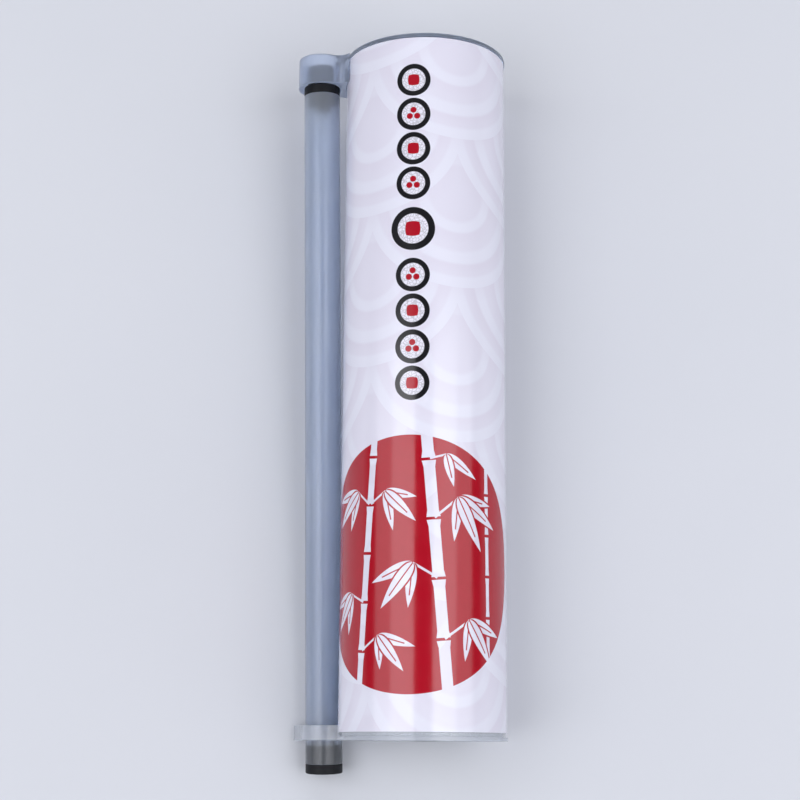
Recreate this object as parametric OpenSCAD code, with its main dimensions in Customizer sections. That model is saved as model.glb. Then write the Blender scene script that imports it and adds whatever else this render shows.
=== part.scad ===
// Push-up tube for a sushi roll, lying on a table with its sauce stick clipped along its side.
// Each piece is drawn standing: Z runs up the tube from its base, and +Y faces the table.
// lay() then lays the piece down, with the tube along +Y and the lid at the +Y end.

/* [Barrel] */
// Outside diameter of the clear barrel
barrel_od = 45.4; // [36:0.2:60]
// Wall of the clear barrel
barrel_wall = 0.7; // [0.5:0.1:1.5]
// Length of the clear barrel
barrel_len = 193.5; // [130:0.5:230]

/* [Printed wrap] */
// Thickness of the printed wrap
wrap_thick = 0.25; // [0.1:0.05:0.5]
// Bare barrel below the wrap
wrap_low_margin = 1.2; // [0.2:0.1:6]
// Bare barrel above the wrap
wrap_high_margin = 0.3; // [0.2:0.1:6]
// Width of the open seam between the wrap's two edges
wrap_seam = 1.2; // [0.5:0.1:4]
// Turn of the seam from straight down, in degrees
wrap_seam_turn = 35; // [0:5:90]

/* [Top ring] */
// Thickness of the ring's flange on the end of the barrel
ring_flange = 0.9; // [0.8:0.1:2]
// Depth of the ring's skirt inside the barrel
ring_skirt = 6; // [3:0.5:12]
// Wall of the ring's skirt
ring_wall = 0.95; // [0.7:0.05:2]
// Height of the collar that holds the top of the stick
collar_height = 8.6; // [5:0.1:14]
// Height of the collar's top above the ring's face
collar_rise = 0.7; // [0.2:0.1:1.5]
// Wall of the collar
collar_wall = 0.9; // [0.8:0.05:2]
// Gap between the wrap and the stick, at the collar
collar_gap = 2.2; // [1.8:0.1:5]
// Turn of the collar below the level of the tube's axis, in degrees
collar_turn = 0.5; // [0:0.5:25]
// Width of the nail notch under the lid's edge
notch_width = 9; // [5:0.5:14]
// Depth of the nail notch
notch_depth = 0.4; // [0.2:0.1:0.6]

/* [Lid] */
// Thickness of the lid's plate
lid_plate = 0.7; // [0.6:0.1:1.5]
// Reach of the lid's edge over the ring
lid_overlap = 0.8; // [0.5:0.1:1.5]
// Depth of the lid's plug below the ring's face
lid_plug = 6.6; // [3:0.2:10]
// Wall of the lid's plug
lid_wall = 0.9; // [0.6:0.1:2]
// Depth of the dished panel in the lid's face
panel_depth = 0.2; // [0.1:0.1:0.4]
// Width of the raised border round the panel
panel_border = 2.6; // [1.5:0.1:6]

/* [Base ring] */
// Thickness of the base's flange under the barrel
base_flange = 1; // [0.8:0.1:2]
// Height of the base's skirt inside the barrel, which the push disc sits on
base_skirt = 4; // [3:0.5:10]
// Wall of the base's skirt
base_wall = 1.45; // [1:0.05:3]
// Height of the loop that holds the bottom of the stick
loop_height = 4.1; // [3:0.1:8]
// Wall of the loop
loop_wall = 1.2; // [0.8:0.05:2.5]
// Gap between the wrap and the stick, at the loop
loop_gap = 3.8; // [2.6:0.1:6]
// Height of the loop's underside above the base's face
loop_lift = 0.1; // [0.1:0.1:0.6]
// Reach of the pull ear beyond the loop
ear_reach = 3.2; // [1:0.1:4]
// Width of the pull ear
ear_width = 2.4; // [1.6:0.1:4]

/* [Push disc] */
// Height of the push disc
disc_height = 7; // [5:0.5:14]
// Thickness of the disc's face
disc_plate = 1.2; // [0.8:0.1:3]
// Wall of the disc's skirt
disc_wall = 1.5; // [0.8:0.1:2.5]
// Depth of the groove between the skirt's two sliding beads
bead_step = 0.4; // [0.2:0.1:0.6]
// Height of each sliding bead
bead_height = 1.2; // [0.8:0.1:2]
// Wall of the socket that takes the stick's end
socket_wall = 1.2; // [0.8:0.1:2]
// Ribs between the socket and the skirt
rib_count = 6; // [3:1:10]
// Thickness of a rib
rib_thick = 1; // [0.8:0.1:2]
// Height of a rib below the disc's face
rib_height = 4; // [2:0.5:4.5]

/* [Sauce stick] */
// Outside diameter of the sauce tube
stick_od = 10.4; // [8:0.1:13]
// Wall of the sauce tube
stick_wall = 0.9; // [0.6:0.1:1.5]
// Length of the sauce tube
stick_len = 192.7; // [130:0.1:230]
// Length of sauce tube that shows below the base
stick_below = 6.3; // [2:0.1:20]

/* [Stoppers] */
// Length of a stopper's head
head_len = 2.6; // [1.5:0.1:5]
// Bevel on the edge of a stopper's head
head_bevel = 0.4; // [0.1:0.1:0.8]
// Diameter of the nub on the top stopper
nub_od = 8.2; // [5:0.1:9]
// Length of the nub on the top stopper
nub_len = 5.8; // [3:0.1:10]
// Length of the plug that seals the sauce tube
plug_len = 3.2; // [2:0.1:8]
// Diameter of the drip tip on the top stopper
tip_od = 3.4; // [2:0.1:5]
// Length of the drip tip
tip_len = 2; // [1:0.1:6]
// Extra plug length on the bottom stopper
foot_extra = 2.4; // [0.5:0.1:6]

/* [Fits and gaps] */
// Glue between the barrel and the wrap
glue_gap = 0.05; // [0.02:0.01:0.1]
// Stand of both flanges above the wrap
flange_stand = 0.2; // [0.1:0.05:0.6]
// Radial gap of the fixed skirts in the barrel
skirt_fit = 0.05; // [0.02:0.01:0.1]
// Radial gap of the lid's plug in the top ring
lid_fit = 0.15; // [0.05:0.05:0.3]
// Radial gap of the push disc in the barrel
disc_fit = 0.2; // [0.1:0.05:0.4]
// Radial gap of the stick in its collar and loop, beyond what its slant takes
stick_fit = 0.2; // [0.1:0.05:0.4]
// Radial gap of the stick's end in the push disc's socket
socket_fit = 0.2; // [0.1:0.05:0.4]
// Radial gap of a stopper's plug in the sauce tube
stopper_fit = 0.05; // [0.02:0.01:0.1]
// Gap between the wrap and what stands beside it
wrap_clear = 0.3; // [0.2:0.05:0.6]
// Radius of the hollow blends beside the necks
neck_fillet = 4; // [2:0.1:6]

/* [Hidden] */
$fn = 128;

// Cuts run this far past the faces they break through
past = 1;

// Radii about the tube's axis
barrel_r = barrel_od / 2;
bore_r = barrel_r - barrel_wall;
wrap_in_r = barrel_r + glue_gap;
wrap_r = wrap_in_r + wrap_thick;
flange_r = wrap_r + flange_stand;
ring_in_r = bore_r - skirt_fit - ring_wall;
base_in_r = bore_r - skirt_fit - base_wall;
disc_r = bore_r - disc_fit;
lid_r = ring_in_r + lid_overlap;

// Heights up the tube
barrel_low = base_flange;
barrel_high = barrel_low + barrel_len;
ring_top = barrel_high + ring_flange;
lid_top = ring_top + lid_plate;
collar_top = ring_top + collar_rise;
collar_low = collar_top - collar_height;
disc_low = base_flange + base_skirt;
loop_mid = loop_lift + loop_height / 2;
collar_mid = collar_top - collar_height / 2;

// The stick's collar and loop, bored wide enough for the steepest slant that the stick can take
stick_r = stick_od / 2;
steepest = (flange_r - stick_r) / (collar_mid - loop_mid);
collar_bore_r = stick_r * sqrt(1 + steepest * steepest) + steepest * collar_height / 2 + stick_fit;
loop_bore_r = stick_r * sqrt(1 + steepest * steepest) + steepest * loop_height / 2 + stick_fit;
collar_r = collar_bore_r + collar_wall;
loop_r = loop_bore_r + loop_wall;
collar_reach = wrap_r + collar_gap + stick_r;
loop_reach = wrap_r + loop_gap + stick_r;
// The tube rolls on the table until the loop touches down
loop_turn = asin((flange_r - loop_r) / loop_reach);

// The stick's axis runs from the middle of the loop to the middle of the collar
function eye(reach, turn, height) = [-reach * cos(turn), reach * sin(turn), height];
loop_eye = eye(loop_reach, loop_turn, loop_mid);
collar_eye = eye(collar_reach, collar_turn, collar_mid);
stick_dir = (collar_eye - loop_eye) / norm(collar_eye - loop_eye);
slant = acos(stick_dir[2]);
heading = atan2(stick_dir[1], stick_dir[0]);
stick_start = (loop_mid + stick_below) / stick_dir[2];

// The laid-down part is centred over its own footprint
left_reach = max(collar_reach * cos(collar_turn) + collar_r,
                 (loop_reach + loop_r + ear_reach) * cos(loop_turn));
low_end = loop_mid - (stick_start + head_len) * stick_dir[2] - stick_r * sin(slant);
high_end = max(lid_top, collar_top);

module lay()
    translate([(left_reach - flange_r) / 2, -(low_end + high_end) / 2, flange_r])
        rotate([-90, 0, 0])
            children();

module along_stick()
    translate(loop_eye)
        rotate([0, slant, heading])
            translate([0, 0, -stick_start])
                children();

module tube(outer_r, inner_r, height)
    difference() {
        cylinder(r = outer_r, h = height);
        translate([0, 0, -past])
            cylinder(r = inner_r, h = height + 2 * past);
    }

// A disc and a smaller eye beside it, blended by two hollow curves that touch both
module necked_outline(eye_r, reach) {
    blend_x = ((flange_r + neck_fillet) ^ 2 - (eye_r + neck_fillet) ^ 2 + reach ^ 2) / (2 * reach);
    blend_y = sqrt((flange_r + neck_fillet) ^ 2 - blend_x ^ 2);
    circle(r = flange_r);
    translate([-reach, 0])
        circle(r = eye_r);
    difference() {
        polygon([[0, 0], [-blend_x, blend_y], [-reach, 0], [-blend_x, -blend_y]]);
        for (side = [-1, 1])
            translate([-blend_x, side * blend_y])
                circle(r = neck_fillet);
    }
}

// The part of that outline that stands outside the wrapped barrel
module neck_and_eye(eye_r, reach, height)
    linear_extrude(height)
        difference() {
            necked_outline(eye_r, reach);
            circle(r = wrap_r + wrap_clear);
        }

module barrel()
    color("#dfe7ec", 0.4)
        lay()
            translate([0, 0, barrel_low])
                tube(barrel_r, bore_r, barrel_len);

module printed_wrap() {
    seam_angle = 2 * asin(wrap_seam / (2 * wrap_r));
    color("#f3f1f6")
        lay()
            translate([0, 0, barrel_low + wrap_low_margin])
                rotate([0, 0, 90 - wrap_seam_turn + seam_angle / 2])
                    rotate_extrude(angle = 360 - seam_angle)
                        translate([wrap_in_r, 0])
                            square([wrap_thick, barrel_len - wrap_low_margin - wrap_high_margin]);
}

module top_ring()
    color("#e6edf2", 0.6)
        lay()
            rotate([0, 0, -collar_turn])
                difference() {
                    union() {
                        translate([0, 0, barrel_high])
                            linear_extrude(ring_flange)
                                necked_outline(collar_r, collar_reach);
                        translate([0, 0, collar_low])
                            neck_and_eye(collar_r, collar_reach, collar_height);
                        translate([0, 0, barrel_high - ring_skirt])
                            cylinder(r = bore_r - skirt_fit, h = ring_skirt);
                    }
                    translate([0, 0, barrel_high - ring_skirt - past])
                        cylinder(r = ring_in_r, h = ring_skirt + ring_flange + 2 * past);
                    translate([-collar_reach, 0, collar_low - past])
                        cylinder(r = collar_bore_r, h = collar_height + 2 * past);
                    nail_notch();
                }

// A shallow slot in the ring's face that lets a nail under the lid's edge
module nail_notch()
    rotate([0, 0, 45])
        translate([ring_in_r + lid_overlap / 2, -notch_width / 2, ring_top - notch_depth])
            cube([flange_r, notch_width, notch_depth + past]);

module lid()
    color("#e9eff3", 0.6)
        lay()
            difference() {
                union() {
                    translate([0, 0, ring_top])
                        cylinder(r = lid_r, h = lid_plate);
                    translate([0, 0, ring_top - lid_plug])
                        tube(ring_in_r - lid_fit, ring_in_r - lid_fit - lid_wall, lid_plug);
                }
                translate([0, 0, lid_top - panel_depth])
                    cylinder(r = lid_r - panel_border, h = panel_depth + past);
            }

module base_ring()
    color("#e6edf2", 0.6)
        lay()
            rotate([0, 0, -loop_turn])
                difference() {
                    union() {
                        cylinder(r = flange_r, h = base_flange);
                        translate([0, 0, loop_lift])
                            linear_extrude(base_flange - loop_lift)
                                necked_outline(loop_r, loop_reach);
                        translate([0, 0, loop_lift])
                            neck_and_eye(loop_r, loop_reach, loop_height);
                        translate([0, 0, loop_lift])
                            pull_ear();
                        translate([0, 0, base_flange])
                            cylinder(r = bore_r - skirt_fit, h = base_skirt);
                    }
                    translate([0, 0, -past])
                        cylinder(r = base_in_r, h = base_flange + base_skirt + 2 * past);
                    translate([-loop_reach, 0, loop_lift - past])
                        cylinder(r = loop_bore_r, h = loop_height + 2 * past);
                }

// A small tab on the far side of the loop, with a round tip
module pull_ear() {
    tip_r = ear_width / 2;
    tip_x = -loop_reach - loop_r - ear_reach + tip_r;
    linear_extrude(loop_height) {
        translate([tip_x, 0])
            circle(r = tip_r);
        translate([tip_x, -tip_r])
            square([loop_r + ear_reach - tip_r - loop_bore_r, ear_width]);
    }
}

// A cup turned upside down, with a socket in its middle and two sliding beads round its skirt
module disc_profile(face_low, skirt_in_r, socket_in_r) {
    groove_r = disc_r - bead_step;
    polygon([[0, face_low], [socket_in_r, face_low], [socket_in_r, 0], [socket_in_r + socket_wall, 0],
             [socket_in_r + socket_wall, face_low], [skirt_in_r, face_low], [skirt_in_r, 0],
             [disc_r, 0], [disc_r, bead_height], [groove_r, bead_height],
             [groove_r, disc_height - bead_height], [disc_r, disc_height - bead_height],
             [disc_r, disc_height], [0, disc_height]]);
}

module push_disc() {
    skirt_in_r = disc_r - bead_step - disc_wall;
    socket_in_r = stick_r + socket_fit;
    face_low = disc_height - disc_plate;
    rib_from = socket_in_r + socket_wall / 2;
    rib_to = skirt_in_r + disc_wall / 2;
    color("#f4f4f1")
        lay()
            translate([0, 0, disc_low]) {
                rotate_extrude()
                    disc_profile(face_low, skirt_in_r, socket_in_r);
                for (i = [0 : rib_count - 1])
                    rotate([0, 0, i * 360 / rib_count])
                        translate([rib_from, -rib_thick / 2, face_low - rib_height])
                            cube([rib_to - rib_from, rib_thick, rib_height + disc_plate / 2]);
            }
}

module sauce_tube()
    color("#a9b6cc", 0.7)
        lay()
            along_stick()
                tube(stick_r, stick_r - stick_wall, stick_len);

// A round stopper head whose outer edge is bevelled; it stands on z = 0 and its bevel is on top
module stopper_head()
    rotate_extrude()
        polygon([[0, 0], [stick_r, 0], [stick_r, head_len - head_bevel],
                 [stick_r - head_bevel, head_len], [0, head_len]]);

// A plug that fills the sauce tube's bore below z = 0, with a bevelled lead-in
module stopper_plug(length) {
    plug_r = stick_r - stick_wall - stopper_fit;
    rotate_extrude()
        polygon([[0, 0], [plug_r, 0], [plug_r, head_bevel - length],
                 [plug_r - head_bevel, -length], [0, -length]]);
}

module top_stopper()
    color("#16181d")
        lay()
            along_stick()
                translate([0, 0, stick_len]) {
                    stopper_head();
                    stopper_plug(plug_len);
                    translate([0, 0, -plug_len - tip_len])
                        cylinder(r = tip_od / 2, h = plug_len + tip_len);
                    translate([0, 0, head_len])
                        rotate_extrude()
                            polygon([[0, -head_len / 2], [nub_od / 2, -head_len / 2],
                                     [nub_od / 2, nub_len - head_bevel],
                                     [nub_od / 2 - head_bevel, nub_len], [0, nub_len]]);
                }

module bottom_stopper()
    color("#16181d")
        lay()
            along_stick()
                mirror([0, 0, 1]) {
                    stopper_head();
                    stopper_plug(plug_len + foot_extra);
                }

barrel();
printed_wrap();
top_ring();
lid();
base_ring();
push_disc();
sauce_tube();
top_stopper();
bottom_stopper();
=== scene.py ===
"""The looks of a push-up sushi tube that lies on a table, with its sauce stick clipped along its side."""
import math

import bmesh
import bpy
from mathutils import Matrix, Vector


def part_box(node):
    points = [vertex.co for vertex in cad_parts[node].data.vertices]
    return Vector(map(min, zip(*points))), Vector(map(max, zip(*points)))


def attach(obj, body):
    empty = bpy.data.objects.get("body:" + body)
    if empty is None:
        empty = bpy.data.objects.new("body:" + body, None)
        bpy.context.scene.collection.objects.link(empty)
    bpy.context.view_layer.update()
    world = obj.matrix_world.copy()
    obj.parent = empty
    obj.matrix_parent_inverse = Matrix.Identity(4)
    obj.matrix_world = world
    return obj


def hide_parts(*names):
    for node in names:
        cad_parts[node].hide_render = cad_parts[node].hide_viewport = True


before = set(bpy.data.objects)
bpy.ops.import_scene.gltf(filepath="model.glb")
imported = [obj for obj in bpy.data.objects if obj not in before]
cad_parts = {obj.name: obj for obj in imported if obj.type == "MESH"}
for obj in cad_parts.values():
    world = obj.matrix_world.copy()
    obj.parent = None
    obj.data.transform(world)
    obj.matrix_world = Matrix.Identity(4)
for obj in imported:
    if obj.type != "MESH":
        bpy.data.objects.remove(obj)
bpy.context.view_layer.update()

# Sizes in millimetres, as in the part's source. Heights run up the tube from the base's face.
MM = 0.001
BARREL_R, BORE_R = 22.7, 22.0
BARREL_LOW, BARREL_HIGH = 1.0, 194.5
WRAP_IN_R, WRAP_THICK, WRAP_CLEAR = 22.75, 0.25, 0.3
WRAP_LOW, WRAP_HIGH = 2.2, 194.2
WRAP_SEAM, WRAP_SEAM_TURN = 1.2, 35
FLANGE_R, SKIRT_R, NECK_FILLET = 23.2, 21.95, 4.0
RING_TOP, RING_SKIRT, RING_IN_R = 195.4, 6.0, 21.0
COLLAR_HEIGHT, COLLAR_RISE, COLLAR_WALL = 8.6, 0.7, 0.9
COLLAR_REACH, COLLAR_TURN = 30.4, 0.5
NOTCH_WIDTH, NOTCH_DEPTH, NOTCH_TURN = 9.0, 0.4, 45
LID_R, LID_TOP = 21.8, 196.1
LID_PLUG, LID_PLUG_R, LID_PLUG_IN_R = 6.6, 20.85, 19.95
PANEL_R, PANEL_DEPTH = 19.2, 0.2
BASE_FLANGE, BASE_SKIRT, BASE_IN_R = 1.0, 4.0, 20.5
LOOP_LIFT, LOOP_HEIGHT, LOOP_WALL, LOOP_REACH = 0.1, 4.1, 1.2, 32.0
EAR_REACH, EAR_WIDTH = 3.2, 2.4
DISC_LOW, DISC_HEIGHT, DISC_PLATE, DISC_R, DISC_WALL = 5.0, 7.0, 1.2, 21.8, 1.5
BEAD_STEP, BEAD_HEIGHT = 0.4, 1.2
SOCKET_IN_R, SOCKET_WALL = 5.4, 1.2
RIB_COUNT, RIB_THICK, RIB_HEIGHT = 6, 1.0, 4.0
STICK_R, STICK_WALL, STICK_LEN, STICK_BELOW, STICK_FIT = 5.2, 0.9, 192.7, 6.3, 0.2
HEAD_LEN, HEAD_BEVEL = 2.6, 0.4
PLUG_R, PLUG_LEN, FOOT_EXTRA = 4.25, 3.2, 2.4
NUB_R, NUB_LEN, TIP_R, TIP_LEN = 4.1, 5.8, 1.7, 2.0

# Fine detail for the looks alone: raised moulding marks, and the foot plug swelled to touch its bore
MARK_R, MARK_FOOT, MARK_CREST, MARK_RISE = 14.5, 0.5, 0.35, 0.12
GATE_R, GATE_SLOPE, PANEL_SLOPE = 1.1, 0.15, 0.2
PAD_R, PAD_RISE = 1.4, 0.12
PLUG_PRESS = 0.06

# Roundings of edges and corners
EDGE_EASE, BARREL_EASE, STICK_EASE = 0.18, 0.2, 0.25
LID_EASE, LID_ROOT_EASE, LID_TIP_EASE, LID_RIM_EASE = 0.12, 0.4, 0.35, 0.3
DISC_EASE, DISC_ROOT_EASE, DISC_RIM_EASE, SOCKET_EASE, GROOVE_EASE = 0.2, 0.5, 0.4, 0.3, 0.15
STOPPER_EASE, SEAT_EASE, TIP_EASE, NECK_EASE = 0.15, 0.1, 0.6, 0.2
EASE_STEPS, BEVEL_STEPS = 4, 3
NEARLY_STRAIGHT, MOST_TRIM = math.radians(175), 0.45
BEVEL_ANGLE, FLAT_ANGLE, SHARP_ANGLE = math.radians(50), math.radians(0.3), math.radians(40)

# How far cutters and joined pieces run past what they meet, and how close points are welded
PAST, LAP, WELD, DISC_WELD, ON_AXIS = 1.0, 0.4, 1e-4, 0.004, 1e-6
EAR_ROOT, EAR_DROP, EAR_SINK = 0.3, 0.2, 0.02
LIFT_CLEAR, LIFT_OUT = 0.04, 80

# Sides of the round forms
TURN_STEPS, STICK_STEPS, BORE_STEPS = 144, 96, 72
HUB_STEPS, EYE_STEPS, NECK_STEPS, EAR_STEPS, PAD_STEPS = 150, 64, 14, 24, 32
FILM_ROUND, FILM_UP, FILM_WELD = 289, 25, 1e-6

# The eyes that hold the stick, bored for its slant
WRAP_R = WRAP_IN_R + WRAP_THICK
COLLAR_TOP = RING_TOP + COLLAR_RISE
COLLAR_LOW = COLLAR_TOP - COLLAR_HEIGHT
COLLAR_MID = COLLAR_TOP - COLLAR_HEIGHT / 2
LOOP_MID = LOOP_LIFT + LOOP_HEIGHT / 2
STEEPEST = (FLANGE_R - STICK_R) / (COLLAR_MID - LOOP_MID)
STICK_SPREAD = STICK_R * math.sqrt(1 + STEEPEST ** 2) + STICK_FIT
COLLAR_BORE_R = STICK_SPREAD + STEEPEST * COLLAR_HEIGHT / 2
LOOP_BORE_R = STICK_SPREAD + STEEPEST * LOOP_HEIGHT / 2
COLLAR_R = COLLAR_BORE_R + COLLAR_WALL
LOOP_R = LOOP_BORE_R + LOOP_WALL
LOOP_TURN = math.degrees(math.asin((FLANGE_R - LOOP_R) / LOOP_REACH))

# Where the tube and the stick lie in the frame
barrel_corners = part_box("barrel")
barrel_middle = (barrel_corners[0] + barrel_corners[1]) / 2
base_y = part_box("base_ring")[0].y
LAY = (Matrix.Translation((barrel_middle.x, base_y, barrel_middle.z))
       @ Matrix.Rotation(-math.pi / 2, 4, "X") @ Matrix.Scale(MM, 4))


def eye_place(reach, turn, height):
    """Middle of an eye beside the standing tube."""
    angle = math.radians(turn)
    return Vector((-reach * math.cos(angle), reach * math.sin(angle), height))


loop_eye = eye_place(LOOP_REACH, LOOP_TURN, LOOP_MID)
collar_eye = eye_place(COLLAR_REACH, COLLAR_TURN, COLLAR_MID)
stick_dir = (collar_eye - loop_eye).normalized()
stick_foot = loop_eye - stick_dir * (LOOP_MID + STICK_BELOW) / stick_dir.z
STICK = LAY @ Matrix.Translation(stick_foot) @ stick_dir.to_track_quat("Z", "Y").to_matrix().to_4x4()


# Mesh tools

def link(name, data):
    """A new object in the scene for a mesh, a lamp or a camera."""
    obj = bpy.data.objects.new(name, data)
    bpy.context.scene.collection.objects.link(obj)
    return obj


def settle(obj):
    """The object with its modifiers turned into plain mesh."""
    bpy.context.view_layer.update()
    graph = bpy.context.evaluated_depsgraph_get()
    mesh = bpy.data.meshes.new_from_object(obj.evaluated_get(graph))
    obj.modifiers.clear()
    old = obj.data
    obj.data = mesh
    bpy.data.meshes.remove(old)
    mesh.name = obj.name
    return obj


def shade(obj):
    """Smooth shading that leaves flat faces flat beside their rounded edges."""
    obj.data.shade_smooth()
    obj.data.set_sharp_from_angle(angle=SHARP_ANGLE)
    weighted = obj.modifiers.new("weighted", "WEIGHTED_NORMAL")
    weighted.mode = "FACE_AREA"
    weighted.keep_sharp = True
    return settle(obj)


def eased(points, radius, closed):
    """A profile with its corners rounded; a point may carry a radius of its own."""
    corners = [Vector(p[:2]) for p in points]
    own = [p[2] if len(p) > 2 else radius for p in points]
    out = []
    for i, corner in enumerate(corners):
        if not closed and i in (0, len(corners) - 1):
            out.append(corner)
            continue
        back = corners[i - 1] - corner
        ahead = corners[(i + 1) % len(corners)] - corner
        angle = back.angle(ahead)
        if own[i] <= 0 or angle > NEARLY_STRAIGHT:
            out.append(corner)
            continue
        trim = min(own[i] / math.tan(angle / 2), MOST_TRIM * min(back.length, ahead.length))
        reach = trim / math.cos(angle / 2)
        centre = corner + (back.normalized() + ahead.normalized()).normalized() * reach
        first = corner + back.normalized() * trim - centre
        last = corner + ahead.normalized() * trim - centre
        sweep = math.atan2(first.x * last.y - first.y * last.x, first.dot(last))
        for k in range(EASE_STEPS + 1):
            out.append(centre + Matrix.Rotation(sweep * k / EASE_STEPS, 2) @ first)
    return out


def outward_mesh(name, bm):
    """A plain mesh of a built form, with its faces outward."""
    bmesh.ops.recalc_face_normals(bm, faces=bm.faces)
    mesh = bpy.data.meshes.new(name)
    bm.to_mesh(mesh)
    bm.free()
    return mesh


def turned_mesh(name, profile, closed, steps=TURN_STEPS):
    """A mesh turned about Z from a profile of radius and height."""
    bm = bmesh.new()
    rings = []
    for radius, height in profile:
        if radius < ON_AXIS:
            rings.append([bm.verts.new((0, 0, height))])
            continue
        rings.append([bm.verts.new((radius * math.cos(2 * math.pi * k / steps),
                                    radius * math.sin(2 * math.pi * k / steps), height))
                      for k in range(steps)])
    count = len(rings)
    for i in range(count if closed else count - 1):
        low, high = rings[i], rings[(i + 1) % count]
        for k in range(steps):
            n = (k + 1) % steps
            corners = []
            for vert in (low[k % len(low)], low[n % len(low)], high[n % len(high)], high[k % len(high)]):
                if vert not in corners:
                    corners.append(vert)
            if len(corners) > 2:
                bm.faces.new(corners)
    return outward_mesh(name, bm)


def prism_mesh(name, outline, low, high):
    """A mesh with a flat outline, drawn up between two heights."""
    bm = bmesh.new()
    floor = [bm.verts.new((x, y, low)) for x, y in outline]
    roof = [bm.verts.new((x, y, high)) for x, y in outline]
    bm.faces.new(floor)
    bm.faces.new(roof)
    for i in range(len(outline)):
        n = (i + 1) % len(outline)
        bm.faces.new((floor[i], floor[n], roof[n], roof[i]))
    return outward_mesh(name, bm)


def box_mesh(name, low, high, turn):
    """A plain block between two corners, turned about Z, to cut with."""
    outline = [(low[0], low[1]), (high[0], low[1]), (high[0], high[1]), (low[0], high[1])]
    mesh = prism_mesh(name, outline, low[2], high[2])
    mesh.transform(Matrix.Rotation(math.radians(turn), 4, "Z"))
    return mesh


def arc(centre, radius, start, end, steps):
    """Points along a circle from one angle to another, in radians."""
    return [(centre[0] + radius * math.cos(start + (end - start) * k / steps),
             centre[1] + radius * math.sin(start + (end - start) * k / steps)) for k in range(steps + 1)]


def drum(name, radius, low, high, steps=TURN_STEPS, centre=(0, 0)):
    """A round plug between two heights, to join or to cut with."""
    return prism_mesh(name, arc(centre, radius, 0, 2 * math.pi, steps)[:-1], low, high)


def necked_outline(eye_r, reach):
    """A disc and a smaller eye beside it, blended by two hollow curves that touch both."""
    blend_x = ((FLANGE_R + NECK_FILLET) ** 2 - (eye_r + NECK_FILLET) ** 2 + reach ** 2) / (2 * reach)
    blend_y = math.sqrt((FLANGE_R + NECK_FILLET) ** 2 - blend_x ** 2)
    hub = math.atan2(blend_y, -blend_x)
    at_eye = math.atan2(blend_y, reach - blend_x)
    into_hub = math.atan2(-blend_y, blend_x)
    into_eye = math.atan2(-blend_y, blend_x - reach)
    points = arc((0, 0), FLANGE_R, -hub, hub, HUB_STEPS)
    points += arc((-blend_x, blend_y), NECK_FILLET, into_hub, into_eye, NECK_STEPS)[1:]
    points += arc((-reach, 0), eye_r, at_eye, 2 * math.pi - at_eye, EYE_STEPS)[1:]
    points += arc((-blend_x, -blend_y), NECK_FILLET, -into_eye, -into_hub, NECK_STEPS)[1:-1]
    return points


def carved(name, body, steps):
    """A body joined with and cut by other meshes in turn, with its edges eased."""
    obj = link(name, body)
    tools = []
    for i, (operation, mesh) in enumerate(steps):
        tool = link(f"{name}_tool_{i}", mesh)
        tools.append(tool)
        cut = obj.modifiers.new(f"cut_{i}", "BOOLEAN")
        cut.operation = operation
        cut.solver = "EXACT"
        cut.object = tool
    settle(obj)
    for tool in tools:
        bpy.data.meshes.remove(tool.data)
    bm = bmesh.new()
    bm.from_mesh(obj.data)
    bmesh.ops.remove_doubles(bm, verts=bm.verts, dist=WELD)
    bmesh.ops.dissolve_limit(bm, angle_limit=FLAT_ANGLE, verts=bm.verts, edges=bm.edges)
    bm.to_mesh(obj.data)
    bm.free()
    easing = obj.modifiers.new("easing", "BEVEL")
    easing.width = EDGE_EASE
    easing.segments = BEVEL_STEPS
    easing.limit_method = "ANGLE"
    easing.angle_limit = BEVEL_ANGLE
    return settle(obj)


def place(obj, matrix, body, materials, node):
    """Sets a finished mesh in the frame, gives it its finish and hangs it on its body."""
    obj.data.transform(matrix)
    for material in materials:
        obj.data.materials.append(material)
    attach(obj, body)
    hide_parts(node)


# Node tools

def put(tree, kind, inputs=None, **settings):
    """A new node with its settings, and with values or links on its inputs."""
    node = tree.nodes.new(kind)
    for key, value in settings.items():
        setattr(node, key, value)
    for key, value in (inputs or {}).items():
        if isinstance(value, bpy.types.NodeSocket):
            tree.links.new(value, node.inputs[key])
        else:
            node.inputs[key].default_value = value
    return node


def node_group(name, kind, inputs, outputs):
    """A new group: its tree, what it is given, and the identifiers of its inputs."""
    tree = bpy.data.node_groups.new(name, kind)
    for way, kinds in (("INPUT", inputs), ("OUTPUT", outputs)):
        for label, value in kinds.items():
            tree.interface.new_socket(label, in_out=way, socket_type="NodeSocket" + value)
    names = {s.name: s.identifier for s in tree.interface.items_tree if s.in_out == "INPUT"}
    return tree, put(tree, "NodeGroupInput").outputs, names


def calc(tree, operation, *values, clamp=False):
    """One sum on one, two or three values."""
    node = put(tree, "ShaderNodeMath", dict(enumerate(values)), operation=operation, use_clamp=clamp)
    return node.outputs[0]


def vector_calc(tree, operation, *values, output="Vector"):
    """One sum on two or three vectors."""
    return put(tree, "ShaderNodeVectorMath", dict(enumerate(values)), operation=operation).outputs[output]


def parts(tree, spot):
    """The three numbers of a vector."""
    return put(tree, "ShaderNodeSeparateXYZ", {0: spot}).outputs


def vector(tree, x=0.0, y=0.0, z=0.0):
    """A vector from its three numbers."""
    return put(tree, "ShaderNodeCombineXYZ", {0: x, 1: y, 2: z}).outputs[0]


def length(tree, x, y):
    """How long a flat step is."""
    return calc(tree, "SQRT", calc(tree, "MULTIPLY_ADD", x, x, calc(tree, "MULTIPLY", y, y)))


def mix(tree, factor, first, second):
    """One number turned into another by a factor."""
    return put(tree, "ShaderNodeMix", {0: factor, 2: first, 3: second}, data_type="FLOAT").outputs[0]


def blend_colour(tree, factor, first, second):
    """One colour turned into another by a factor."""
    return put(tree, "ShaderNodeMix", {0: factor, 6: first, 7: second}, data_type="RGBA").outputs[2]


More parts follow.
